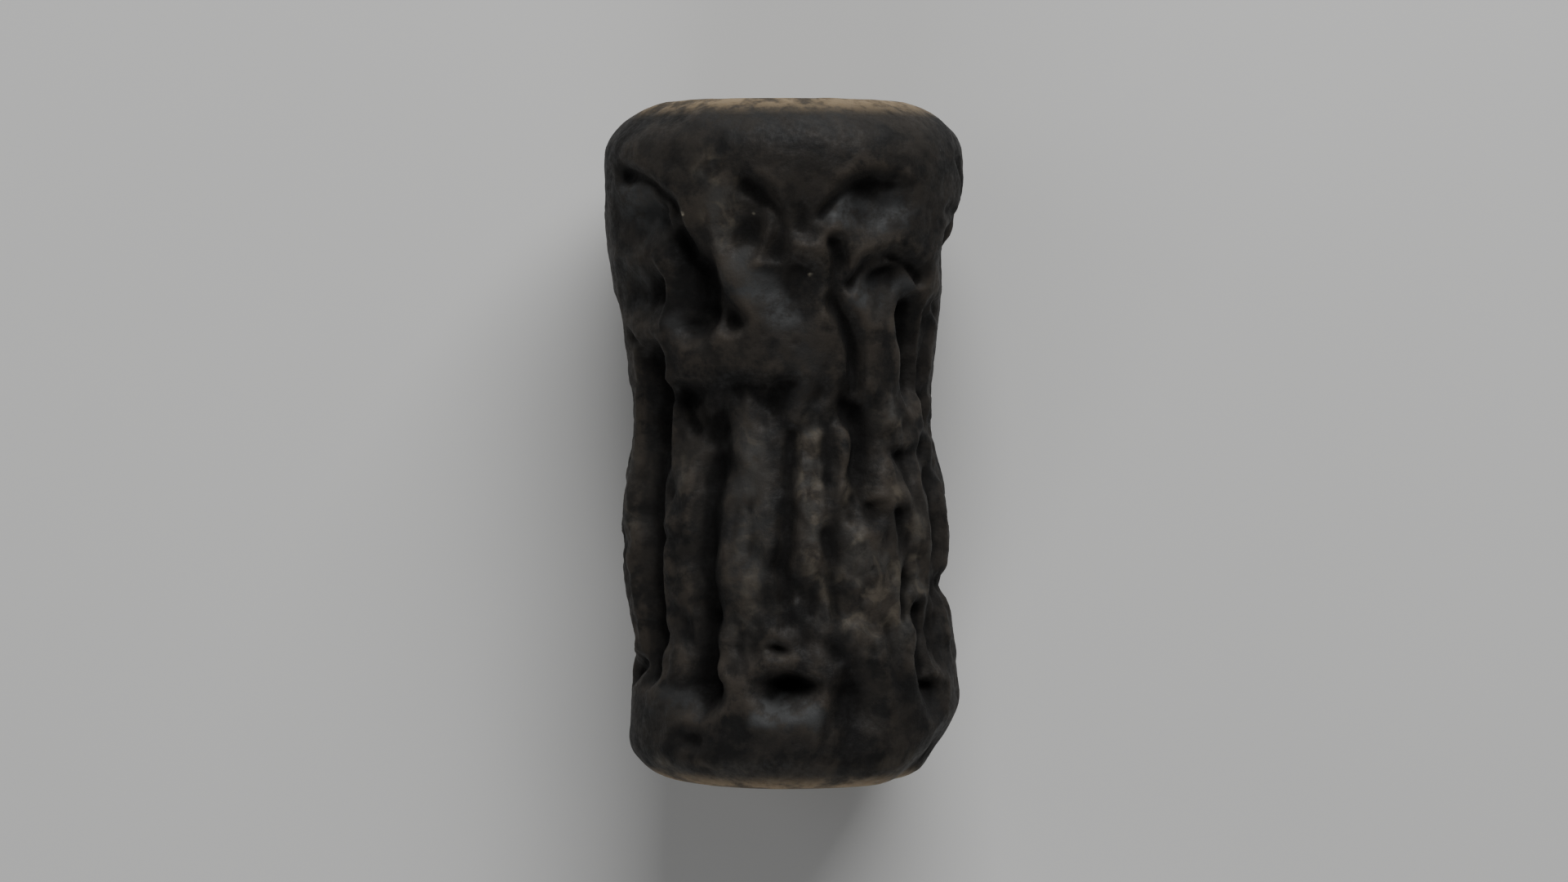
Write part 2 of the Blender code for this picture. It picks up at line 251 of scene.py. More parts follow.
def axis_lean(share):
    """How far the axis stands to the viewer's right at each share of the length."""
    foot_end, belly, neck, crown = STRAIGHT_AT
    stations = [
        (foot_end, LOW_LEAN * LOW_END_LEAN),
        (LOW_LEAN_AT, LOW_LEAN),
        (belly, 0.0),
        (UPPER_LEAN_AT, UPPER_LEAN),
        (neck, 0.0),
        (crown, 0.0),
    ]
    return eased_between(stations, share)


def rounded_line(points):
    """The points with a smooth curve run through them."""
    spots = [np.array(point, float) for point in (points[0],) + points + (points[-1],)]
    curve = [tuple(points[0])]
    for before, start, end, after in zip(spots, spots[1:], spots[2:], spots[3:]):
        for step in range(1, CURVE_STEPS + 1):
            t = step / CURVE_STEPS
            bend = (2.0 * before - 5.0 * start + 4.0 * end - after) * t
            bend += (3.0 * start - before - 3.0 * end + after) * t * t
            curve.append(tuple(start + (end - before + bend) * t / 2.0))
    return curve


def groove(tool, strength, *points):
    """A cut drawn through points (angle in degrees, share of the length) with one tool."""
    line = rounded_line(points) if len(points) > 2 else list(points)
    return {"points": line, "width": TOOL_WIDTH[tool], "depth": TOOL_DEPTH[tool] * strength}


def foot(angle, share, half_angle, strength=1.0, rise=0.0):
    """A foot: a short level cut, deep and blunt, that may rise towards the viewer's right."""
    return {
        "points": ((angle - half_angle, share - rise / 2), (angle + half_angle, share + rise / 2)),
        "width": FOOT_HEIGHT,
        "depth": FOOT_DEPTH * strength,
    }


def hollow(strength, deepest, sideways, upright):
    """A scooped dish, for a head or a chest, and how far it runs left, right, up and down from its bottom."""
    return {
        "middle": deepest,
        "sideways": [reach * DISH_REACH for reach in sideways],
        "upright": [reach * DISH_REACH for reach in upright],
        "depth": TOOL_DEPTH["broad"] * strength,
    }


def robe(strength, left, right, top, hem, flare_left=0.0, flare_right=0.0):
    """A robe's sunk panel between two angles, from its top to its hem, where it may flare."""
    return {
        "corners": (left, right, top, hem, flare_left, flare_right),
        "depth": TOOL_DEPTH["broad"] * strength,
    }


def front_worshipper():
    """The figure on the front: two plumes, a bent arm, a sunk chest and head, and a long robe."""
    return [
        hollow(1.35, (-46, 0.828), (1.7, 0.4), (0.9, 1.2)),
        groove("slim", 1.10, (-63, 0.892), (-49, 0.876), (-39, 0.840), (-37, 0.777), (-41, 0.700)),
        hollow(1.50, (-50, 0.722), (1.7, 0.4), (0.9, 0.8)),
        hollow(2.20, (-27, 0.700), (1.55, 0.5), (1.9, 0.6)),
        hollow(1.60, (-33, 0.675), (0.8, 0.7), (0.4, 0.5)),
        groove("wide", 1.70, (-40, 0.795), (-34, 0.757), (-27, 0.712)),
        groove("round", 1.15, (-30, 0.757), (-23, 0.712), (-18, 0.680)),
        hollow(1.45, (-10, 0.815), (1.1, 0.45), (0.9, 1.0)),
        groove("round", 1.00, (-12, 0.868), (-6, 0.846), (-2, 0.815), (-1, 0.775)),
        hollow(1.10, (7, 0.742), (1.2, 0.75), (0.6, 1.4)),
        hollow(0.80, (6, 0.806), (0.8, 0.8), (1.3, 0.4)),
        groove("slim", 1.30, (19, 0.790), (20, 0.719), (25, 0.669), (29, 0.619), (30, 0.580)),
        robe(0.80, -60, 31, 0.604, 0.12, flare_left=4, flare_right=-8),
        hollow(1.15, (-6, 0.580), (1.9, 1.7), (0.4, 1.3)),
        hollow(1.60, (-38, 0.576), (1.2, 1.2), (0.35, 2.3)),
        groove("wide", 1.90, (-57, 0.620), (-60, 0.455), (-60, 0.304), (-63, 0.180)),
        groove("wide", 1.75, (-28, 0.540), (-30, 0.405), (-32, 0.279), (-36, 0.160)),
        groove("slim", 0.60, (-44, 0.450), (-43, 0.380), (-45, 0.304)),
        groove("round", 1.15, (4, 0.510), (1, 0.405), (0, 0.284)),
        groove("slim", 0.90, (18, 0.510), (17, 0.440), (16, 0.375)),
        hollow(1.10, (-6, 0.208), (0.5, 0.5), (0.3, 0.25)),
        hollow(2.60, (-5, 0.158), (0.8, 0.95), (0.42, 0.8)),
        hollow(1.60, (-35, 0.154), (1.1, 0.8), (0.3, 0.7)),
        hollow(1.50, (-31, 0.154), (0.35, 0.35), (0.25, 0.35)),
        hollow(0.55, (-39, 0.075), (0.6, 0.6), (0.4, 0.4)),
        hollow(1.30, (21, 0.135), (0.9, 0.9), (0.9, 1.9)),
    ]


def patch(reach, strength, *points):
    """A soft patch of another colour along points, running the given number of metres to each side."""
    return {"points": points, "reach": reach, "strength": strength}


def painted_shade_places():
    """Painted shade: where the stone is darkened under the bent arm, in the long cuts, beside the feet and
    round the rims.
    """
    return [
        patch(1.5 * MM, 1.00, (-42, 0.780), (-39, 0.735), (-30, 0.695)),
        patch(1.3 * MM, 0.90, (-46, 0.700), (-48, 0.650), (-55, 0.600)),
        patch(1.2 * MM, 0.90, (-58, 0.590), (-36, 0.575), (-14, 0.590)),
        patch(0.9 * MM, 1.00, (-57, 0.560), (-58, 0.417), (-59, 0.292), (-63, 0.170)),
        patch(0.8 * MM, 0.90, (-27, 0.530), (-27, 0.417), (-28, 0.292), (-32, 0.166)),
        patch(0.9 * MM, 1.00, (19, 0.185), (22, 0.116), (23, 0.050)),
        patch(0.6 * MM, 0.90, (-39, 0.152), (-29, 0.143)),
        patch(0.7 * MM, 0.70, (-46, 0.074), (-34, 0.068)),
        patch(1.6 * MM, 1.00, (-72, 0.960), (-78, 0.880)),
        patch(1.6 * MM, 1.00, (74, 0.960), (80, 0.870)),
        patch(0.7 * MM, 0.60, (24, 0.690), (25, 0.660), (29, 0.562), (35, 0.510)),
        patch(0.8 * MM, 0.80, (50, 0.700), (59, 0.640), (58, 0.590)),
        patch(0.5 * MM, 0.70, (-3, 0.360), (-4, 0.280)),
        patch(0.9 * MM, 0.60, (-66, 0.090), (-68, 0.040)),
        patch(1.2 * MM, 0.90, (44, 0.141), (62, 0.100)),
    ]


def painted_sheen_places():
    """Painted sheen: a bluish grey where the light glances off the dish floors, the arm and the upper rim."""
    return [
        patch(1.2 * MM, 1.15, (-63, 0.866), (-57, 0.848), (-51, 0.826)),
        patch(0.8 * MM, 0.60, (-63, 0.757), (-61, 0.715)),
        patch(1.0 * MM, 1.00, (-14, 0.748), (-5, 0.715), (0, 0.692)),
        patch(0.9 * MM, 1.00, (20, 0.836), (30, 0.842), (41, 0.832)),
        patch(0.9 * MM, 1.00, (31, 0.715), (40, 0.722), (50, 0.715)),
        patch(0.8 * MM, 1.20, (-12, 0.121), (3, 0.121)),
        patch(0.6 * MM, 0.70, (-41, 0.672), (-33, 0.668)),
        patch(0.9 * MM, 0.50, (-56, 0.130), (-42, 0.128)),
        patch(0.9 * MM, 0.50, (58, 0.120), (64, 0.090)),
        patch(1.3 * MM, 0.35, (-25, 0.965), (0, 0.972), (28, 0.962)),
        patch(1.3 * MM, 0.40, (-11, 0.510), (-14, 0.300)),
        patch(1.2 * MM, 0.30, (8, 0.650), (10, 0.590)),
    ]


def painted_highlight_places():
    """Painted highlights: paler grey patches with cream flecks where the light catches the arm and the ridges
    of the robes.
    """
    return [
        patch(0.9 * MM, 1.00, (-22, 0.885), (-19, 0.840), (-17, 0.790)),
        patch(0.8 * MM, 0.60, (-15, 0.765), (-8, 0.730)),
        patch(0.8 * MM, 0.90, (-54, 0.850), (-48, 0.801)),
        patch(0.8 * MM, 0.70, (-12, 0.505), (-11, 0.417), (-15, 0.292), (-18, 0.241)),
        patch(0.7 * MM, 1.00, (11, 0.518), (9, 0.430), (12, 0.367), (17, 0.285)),
        patch(0.7 * MM, 1.00, (46, 0.545), (53, 0.515)),
        patch(0.7 * MM, 0.90, (34, 0.430), (42, 0.427)),
        patch(1.3 * MM, 0.80, (26, 0.340), (42, 0.317), (28, 0.250), (45, 0.254)),
        patch(1.1 * MM, 1.00, (16, 0.320), (23, 0.260)),
        patch(0.9 * MM, 0.80, (53, 0.370), (58, 0.290)),
        patch(0.5 * MM, 0.50, (-44, 0.470), (-43, 0.430)),
        patch(0.6 * MM, 0.70, (25, 0.443), (26, 0.342)),
        patch(0.8 * MM, 0.60, (-78, 0.518), (-74, 0.443), (-71, 0.342)),
        patch(0.8 * MM, 0.60, (-58, 0.025), (-20, 0.022), (20, 0.022), (55, 0.030)),
    ]


def pale_specks():
    """Two pale crumbs stuck in the carving."""
    return [
        patch(0.15 * MM, 0.60, (-35, 0.832), (-33, 0.831)),
        patch(0.12 * MM, 0.50, (10, 0.745), (11, 0.744)),
    ]


def offering_stand():
    """The marks between the front figure and the next: an upright thing on a small foot."""
    return [
        groove("round", 0.70, (-97, 0.920), (-94, 0.865), (-98, 0.825)),
        groove("fine", 0.80, (-87, 0.918), (-85, 0.850)),
        groove("fine", 0.80, (-103, 0.893), (-109, 0.842)),
        groove("round", 0.85, (-99, 0.720), (-93, 0.683), (-88, 0.645)),
        hollow(1.00, (-85, 0.665), (0.5, 0.5), (0.9, 0.9)),
        groove("fine", 0.80, (-70, 0.655), (-63, 0.640), (-60, 0.600)),
        groove("fine", 0.70, (-86, 0.560), (-87, 0.440), (-84, 0.330)),
        foot(-79, 0.166, 6, 0.85, rise=0.01),
        hollow(0.80, (-90, 0.205), (0.8, 0.8), (0.9, 0.6)),
    ]


def left_deity():
    """The figure to the left: an arched crown over an arched brow, and a wide flounced robe."""
    return [
        groove("round", 0.80, (-154, 0.878), (-145, 0.902), (-136, 0.898), (-128, 0.882)),
        groove("round", 0.60, (-149, 0.773), (-138, 0.795), (-128, 0.780), (-122, 0.758)),
        hollow(1.10, (-138, 0.740), (1.2, 1.2), (0.45, 1.0)),
        robe(0.75, -150, -94, 0.620, 0.16, flare_left=14, flare_right=-8),
        groove("round", 0.75, (-149, 0.561), (-157, 0.546), (-161, 0.463), (-165, 0.366), (-171, 0.235)),
        groove("round", 0.65, (-96, 0.561), (-98, 0.463), (-102, 0.366), (-108, 0.270)),
        groove("fine", 0.90, (-91, 0.361), (-96, 0.305)),
        groove("wide", 0.75, (-141, 0.315), (-134, 0.320), (-127, 0.338)),
        groove("fine", 0.90, (-131, 0.366), (-126, 0.400), (-117, 0.407)),
        groove("fine", 0.90, (-146, 0.245), (-138, 0.260), (-130, 0.295)),
        foot(-151, 0.127, 8),
        foot(-107, 0.132, 8, 0.85, rise=0.015),
        foot(178, 0.222, 6, 0.95),
    ]


def back_deity():
    """The figure at the back: a hooked crown, a heavy forearm and a skirt cut off at a hem."""
    return [
        groove("round", 1.00, (98, 0.751), (97, 0.810), (99, 0.863), (107, 0.888), (118, 0.893), (129, 0.88)),
        groove("round", 0.95, (104, 0.776), (113, 0.790), (122, 0.772)),
        groove("wide", 0.55, (74, 0.775), (84, 0.810), (94, 0.850)),
        groove("wide", 0.85, (112, 0.556), (126, 0.566), (139, 0.584), (150, 0.596)),
        groove("round", 0.70, (147, 0.658), (155, 0.644), (162, 0.629)),
        groove("round", 0.80, (160, 0.739), (171, 0.739)),
        robe(0.85, 111, 154, 0.520, 0.255, flare_left=1, flare_right=-14),
        groove("wide", 0.85, (174, 0.556), (165, 0.488), (158, 0.420), (150, 0.346), (141, 0.295)),
        groove("round", 0.90, (116, 0.280), (138, 0.280)),
        groove("round", 0.50, (112, 0.463), (104, 0.405), (96, 0.341), (88, 0.273)),
        groove("round", 0.70, (116, 0.205), (116, 0.146), (121, 0.127)),
        groove("fine", 1.10, (129, 0.168), (131, 0.146)),
        groove("fine", 0.60, (158, 0.127), (163, 0.107), (168, 0.102)),
    ]


def right_worshipper():
    """The figure to the right: a broad sunk head, a scooped shoulder, an arm and a folded robe."""
    return [
        hollow(1.55, (28, 0.868), (0.95, 1.2), (0.3, 1.4)),
        groove("slim", 0.95, (14, 0.826), (18, 0.855), (27, 0.874), (38, 0.868)),
        hollow(1.75, (40, 0.748), (1.1, 0.95), (0.3, 1.1)),
        groove("slim", 1.30, (25, 0.735), (32, 0.762), (44, 0.768), (57, 0.745)),
        groove("wide", 1.60, (55, 0.690), (59, 0.640), (60, 0.590)),
        groove("round", 0.65, (68, 0.690), (70, 0.615), (72, 0.546)),
        groove("round", 0.65, (76, 0.700), (80, 0.695)),
        hollow(1.35, (86, 0.812), (1.2, 1.0), (0.4, 2.0)),
        groove("round", 0.65, (76, 0.290), (98, 0.286)),
        groove("wide", 1.20, (25, 0.556), (32, 0.526), (33, 0.475), (28, 0.420)),
        hollow(0.90, (52, 0.484), (0.8, 0.8), (0.3, 0.8)),
        hollow(1.00, (34, 0.408), (0.5, 0.5), (0.3, 0.5)),
        groove("slim", 0.75, (46, 0.400), (49, 0.330), (47, 0.254)),
        groove("wide", 0.65, (68, 0.480), (72, 0.341), (66, 0.200)),
        groove("round", 0.80, (56, 0.250), (54, 0.160)),
        hollow(1.30, (57, 0.143), (0.6, 0.7), (0.25, 0.7)),
        groove("fine", 0.80, (66, 0.840), (74, 0.835), (79, 0.822)),
        groove("fine", 0.60, (72, 0.912), (78, 0.898), (83, 0.873)),
        groove("fine", 0.60, (90, 0.655), (92, 0.625)),
    ]


def chips():
    """Old losses: the lower corner knocked off at the right, and dents in the upper one."""
    return [
        groove("broad", 1.20, (62, 0.025), (88, 0.045), (112, 0.025)),
        groove("wide", 0.45, (-62, 0.972), (-40, 0.985)),
        groove("wide", 0.40, (118, 0.970), (142, 0.978), (158, 0.970)),
    ]


def flat_offsets(angle, share, point):
    """How far skin points lie from one point, along the skin: across and up, in metres."""
    across = np.radians((angle - point[0] + 180.0) % 360.0 - 180.0) * BELLY_RADIUS
    return across, (share - point[1]) * SEAL_LENGTH


def distance_to_line(angle, share, points):
    """The distance along the skin from each place to a line through the points."""
    nearest = np.full(angle.shape, np.inf)
    for start, end in zip(points, points[1:]):
        across, up = flat_offsets(angle, share, start)
        run = math.radians(end[0] - start[0]) * BELLY_RADIUS
        rise = (end[1] - start[1]) * SEAL_LENGTH
        along = np.clip((across * run + up * rise) / (run * run + rise * rise), 0.0, 1.0)
        nearest = np.minimum(nearest, np.hypot(across - along * run, up - along * rise))
    return nearest


def panel_shape(angle, share, corners):
    """1 inside a robe's panel, falling to 0 at its sides and top, and fading out above its hem."""
    left, right, top, hem, flare_left, flare_right = corners
    down = np.clip((top - share) / (top - hem), 0.0, 1.0)
    half = ((right + flare_right * down) - (left - flare_left * down)) / 2.0
    middle = ((right + flare_right * down) + (left - flare_left * down)) / 2.0
    from_middle = np.abs((angle - middle + 180.0) % 360.0 - 180.0)
    side = ease(np.radians(half - from_middle) * BELLY_RADIUS / TOOL_WIDTH["round"])
    return side * ease((top - share) * SEAL_LENGTH / TOOL_WIDTH["round"]) * ease((1.0 - down) * 3.0)


def cut_shape(angle, share, cut):
    """1 along the bottom of a cut, falling to 0 at its edge."""
    if "corners" in cut:
        return panel_shape(angle, share, cut["corners"])
    if "middle" in cut:
        across, up = flat_offsets(angle, share, cut["middle"])
        left, right = cut["sideways"]
        above, below = cut["upright"]
        sideways = across / np.where(across < 0.0, left, right)
        off = np.hypot(sideways, up / np.where(up > 0.0, above, below)) / CUT_WEAR
    else:
        off = distance_to_line(angle, share, cut["points"]) / (cut["width"] / 2.0 * CUT_WEAR)
    return 1.0 - ease(off)


def carved_depth(angle, share):
    """How deep the carving is at each angle and share of the length, in metres."""
    cuts = front_worshipper() + offering_stand() + left_deity() + back_deity() + right_worshipper() + chips()
    total = np.zeros(angle.shape)
    for cut in cuts:
        total += (cut["depth"] * cut_shape(angle, share, cut)) ** CUT_BLEND
    return total ** (1.0 / CUT_BLEND)


def sunk_below(angle, share, cut):
    """How much deeper each place is cut than the skin around it, from a coarse map of the cutting."""
    around = np.arange(-180.0, 180.0)
    along = np.linspace(0.0, 1.0, MAP_ROWS + 1)
    soft = carved_depth(*np.meshgrid(around, along))
    span = 2 * MAP_REACH + 1
    for _ in range(MAP_ROUNDS):
        soft = sum(np.roll(soft, step, axis=1) for step in range(-MAP_REACH, MAP_REACH + 1)) / span
        padded = np.pad(soft, ((MAP_REACH, MAP_REACH), (0, 0)), mode="edge")
        soft = sum(padded[step:step + len(along)] for step in range(span)) / span
    column = (angle + 180.0) % 360.0
    row = np.clip(share, 0.0, 0.9999) * MAP_ROWS
    left = np.floor(column).astype(int) % 360
    low = np.floor(row).astype(int)
    right = (left + 1) % 360
    side = column - np.floor(column)
    rise = row - low
    before = soft[low, left] * (1.0 - side) + soft[low, right] * side
    after = soft[low + 1, left] * (1.0 - side) + soft[low + 1, right] * side
    return cut - before * (1.0 - rise) - after * rise


def patched(angle, share, patches):
    """How strong the strongest of the soft patches is at each place."""
    most = np.zeros(angle.shape)
    for each in patches:
        off = distance_to_line(angle, share, each["points"]) / each["reach"]
        most = np.maximum(most, each["strength"] * (1.0 - ease(off)))
    return most


def shuffled(mark, first, second):
    """Whole numbers mixed up beyond recognition, in the same way each time."""
    mark = (mark ^ (mark >> first)) * 1274126177 & 0x7FFFFFFF
    return (mark ^ (mark >> second)) * 1103515245 & 0x7FFFFFFF


def noise_at(place, size, seed):
    """Smooth noise between about -1 and 1 at each place, with lumps of the given size in metres."""
    spot = place / size + seed * 17.31
    cell = np.floor(spot).astype(np.int64)
    part = spot - cell
    soft = part * part * part * (part * (part * 6.0 - 15.0) + 10.0)
    total = np.zeros(len(place))
    for corner in itertools.product((0, 1), repeat=3):
        mark = shuffled((cell + corner) @ np.array([73856093, 19349663, 83492791]) + seed * 7919, 13, 15)
        slope = np.stack([mark & 255, mark >> 8 & 255, mark >> 16 & 255], axis=-1) / 127.5 - 1.0
        weight = np.prod(np.where(corner, soft, 1.0 - soft), axis=-1)
        total += weight * np.sum(slope * (part - corner), axis=-1)
    return total * 1.3


def grain_at(place, size, seed, layers):
    """Noise with finer and finer layers on it, each half as strong."""
    total = np.zeros(len(place))
    for layer in range(layers):
        total += noise_at(place, size / 2.0**layer, seed + layer) / 2.0**layer
    return total


def pits_at(place, size, seed, share_filled, width):
    """1 in the middle of small round pits, one to a cell of the given size where there is one."""
    spot = place / size
    cell = np.floor(spot).astype(np.int64)
    deepest = np.zeros(len(place))
    for corner in itertools.product((-1, 0, 1), repeat=3):
        near = cell + corner
        mark = shuffled(near @ np.array([50331653, 12582917, 25165843]) + seed * 104729, 11, 14)
        middle = near + np.stack([mark & 127, mark >> 7 & 127, mark >> 14 & 127], axis=-1) / 127.0
        chosen = (mark >> 21 & 255) / 255.0
        off = np.linalg.norm(spot - middle, axis=-1) * size
        reach = width * (0.45 + chosen / share_filled)
        deepest = np.maximum(deepest, np.where(chosen < share_filled, 1.0 - ease(off / reach), 0.0))
    return deepest


class SealSizes(bpy.types.PropertyGroup):
    """How finely the stone is divided, and how worn it is."""

    spacing: bpy.props.FloatProperty(
        name="Spacing",
        description="Distance between neighbouring points of the skin",
        default=0.086 * MM,
        min=0.05 * MM,
        subtype="DISTANCE",
        unit="LENGTH",
        precision=6,
    )
    wander: bpy.props.FloatProperty(
        name="Wander",
        description="How far the edges of the cuts stray from their drawn lines",
        default=0.2 * MM,
        min=0.0,
        subtype="DISTANCE",
        unit="LENGTH",
        precision=6,
    )
    wear: bpy.props.FloatProperty(
        name="Wear",
        description="How deep handling has worn the skin unevenly",
        default=0.12 * MM,
        min=0.0,
        subtype="DISTANCE",
        unit="LENGTH",
        precision=6,
    )
    folds: bpy.props.FloatProperty(
        name="Folds",
        description="How deep the faint upright folds of the robes are",
        default=0.2 * MM,
        min=0.0,
        subtype="DISTANCE",
        unit="LENGTH",
        precision=6,
    )
    lumps: bpy.props.FloatProperty(
        name="Lumps",
        description="How deep the rough lumpy tooling between the cuts is",
        default=0.22 * MM,
        min=0.0,
        subtype="DISTANCE",
        unit="LENGTH",
        precision=6,
    )
    pits: bpy.props.FloatProperty(
        name="Pits",
        description="How deep the small pits in the skin are",
        default=0.09 * MM,
        min=0.0,
        subtype="DISTANCE",
        unit="LENGTH",
        precision=6,
    )


class SealColours(bpy.types.PropertyGroup):
    """The colours of the stone and of the stage."""

    stone: bpy.props.FloatVectorProperty(
        name="Stone",
        description="The black stone itself",
        subtype="COLOR",
        size=4,
        min=0.0,
        max=1.0,
        default=(0.0060, 0.0057, 0.0054, 1.0),
    )
    brown: bpy.props.FloatVectorProperty(
        name="Brown",
        description="The brown cast in the stone",
        subtype="COLOR",
        size=4,
        min=0.0,
        max=1.0,
        default=(0.0365, 0.0302, 0.0240, 1.0),
    )
    grey_brown: bpy.props.FloatVectorProperty(
        name="Grey brown",
        description="The greyish brown of weathered patches",
        subtype="COLOR",
        size=4,
        min=0.0,
        max=1.0,
        default=(0.0225, 0.0192, 0.0160, 1.0),
    )
    # Painted highlight: the paler grey laid where the light catches the arm and the ridges.
    highlight_grey: bpy.props.FloatVectorProperty(
        name="Rubbed",
        description="The paler grey of bare places",
        subtype="COLOR",
        size=4,
        min=0.0,
        max=1.0,
        default=(0.045, 0.0428, 0.039, 1.0),
    )
    # Painted highlight: cream flecks inside the paler highlight patches.
    highlight_cream: bpy.props.FloatVectorProperty(
        name="Cream",
        description="The cream flecks in bare places",
        subtype="COLOR",
        size=4,
        min=0.0,
        max=1.0,
        default=(0.1, 0.085, 0.064, 1.0),
    )
    # Painted sheen: the bluish grey laid where the light glances off the dish floors, the arm and the upper
    # rim.
    painted_sheen: bpy.props.FloatVectorProperty(
        name="Bloom",
        description="The bluish grey bloom in the rubbed dishes and on the arm",
        subtype="COLOR",
        size=4,
        min=0.0,
        max=1.0,
        default=(0.042, 0.0432, 0.0435, 1.0),
    )
    # Painted shade: the near black laid under the arm, round the rims and down in the narrow cuts and
    # hollows.
    painted_shade_colour: bpy.props.FloatVectorProperty(
        name="Dirt",
        description="The black dirt down in the narrow cuts and in grimy places",
        subtype="COLOR",
        size=4,
        min=0.0,
        max=1.0,
        default=(0.0042, 0.0039, 0.0037, 1.0),
    )
    # Tan of the worn ends, made bright enough to be a painted rim highlight along the end edges.
    tan: bpy.props.FloatVectorProperty(
        name="Tan",
        description="The tan of the worn ends",
        subtype="COLOR",
        size=4,
        min=0.0,
        max=1.0,
        default=(0.22, 0.165, 0.1, 1.0),
    )
    speck: bpy.props.FloatVectorProperty(
        name="Speck",
        description="The pale specks",
        subtype="COLOR",
        size=4,
        min=0.0,
        max=1.0,
        default=(0.3, 0.27, 0.21, 1.0),
    )
    floor: bpy.props.FloatVectorProperty(
        name="Floor",
        description="The floor",
        subtype="COLOR",
        size=4,
        min=0.0,
        max=1.0,
        default=(0.62, 0.62, 0.61, 1.0),
    )


def corner_curve(part):
    """A worn corner from the end face (0) to the side (1): how far in and how far on it still has to go."""
    turn = math.pi / 2 * part
    power = 2.0 / CORNER_FULLNESS
    return 1.0 - math.sin(turn) ** power, 1.0 - math.cos(turn) ** power


def half_section(spacing):
    """The uncarved stone's outline, from the lower mouth up the side to the upper mouth and down the hole."""
    low_start = LOW_CORNER_HEIGHT / SEAL_LENGTH
    top_start = 1.0 - TOP_CORNER_HEIGHT / SEAL_LENGTH
    low_radius = float(body_radius(low_start))
    top_radius = float(body_radius(top_start))
    corner_rows = int(LOW_CORNER_REACH * CORNER_ROW_CLOSENESS / spacing)
    side_rows = int((top_start - low_start) * SEAL_LENGTH / spacing)
    points = []
    for row in range(END_ROWS):
        points.append((MOUTH_RADIUS + (low_radius - LOW_CORNER_REACH - MOUTH_RADIUS) * row / END_ROWS, 0.0))
    for row in range(corner_rows):
        inward, down = corner_curve(row / corner_rows)
        points.append((low_radius - LOW_CORNER_REACH * inward, LOW_CORNER_HEIGHT * down))
    for row in range(side_rows + 1):
        share = low_start + (top_start - low_start) * row / side_rows
        points.append((float(body_radius(share)), share * SEAL_LENGTH))
    for row in range(1, corner_rows + 1):
        inward, down = corner_curve(1.0 - row / corner_rows)
        points.append((top_radius - TOP_CORNER_REACH * inward, SEAL_LENGTH - TOP_CORNER_HEIGHT * down))
    end_radius = top_radius - TOP_CORNER_REACH
    for row in range(1, END_ROWS + 1):
        points.append((end_radius + (MOUTH_RADIUS - end_radius) * row / END_ROWS, SEAL_LENGTH))
    for _ in range(OUTLINE_ROUNDS):
        near = zip(points[END_ROWS - 1:], points[END_ROWS:], points[END_ROWS + 1:-END_ROWS])
        points[END_ROWS:-END_ROWS - 1] = [
            ((a[0] + 2.0 * b[0] + c[0]) / 4.0, (a[1] + 2.0 * b[1] + c[1]) / 4.0) for a, b, c in near
        ]
    bend_radius = BORE_RADIUS + (MOUTH_RADIUS - BORE_RADIUS) * MOUTH_BEND_IN
    points.append((bend_radius, SEAL_LENGTH - MOUTH_DEPTH * MOUTH_BEND_DOWN))
    points.append((BORE_RADIUS, SEAL_LENGTH - MOUTH_DEPTH))
    points.append((BORE_RADIUS, MOUTH_DEPTH))
    points.append((bend_radius, MOUTH_DEPTH * MOUTH_BEND_DOWN))
    return points


def turned_mesh(name, section, steps):
    """A mesh spun from a closed outline of (radius, height) points."""
    bm = bmesh.new()
    corners = [bm.verts.new((0.0, -radius, height)) for radius, height in section]
    edges = [bm.edges.new((corners[i], corners[(i + 1) % len(corners)])) for i in range(len(corners))]
    bmesh.ops.spin(
        bm,
        geom=corners + edges,
        cent=(0.0, 0.0, 0.0),
        axis=(0.0, 0.0, 1.0),
        angle=2.0 * math.pi,
        steps=steps,
        use_merge=True,
    )
    bmesh.ops.recalc_face_normals(bm, faces=bm.faces)
    mesh = bpy.data.meshes.new(name)
    bm.to_mesh(mesh)
    bm.free()
    return mesh


def read_points(mesh):
    """The mesh's points as rows of numbers."""
    flat = np.zeros(len(mesh.vertices) * 3)
    mesh.vertices.foreach_get("co", flat)
    return flat.reshape(-1, 3)


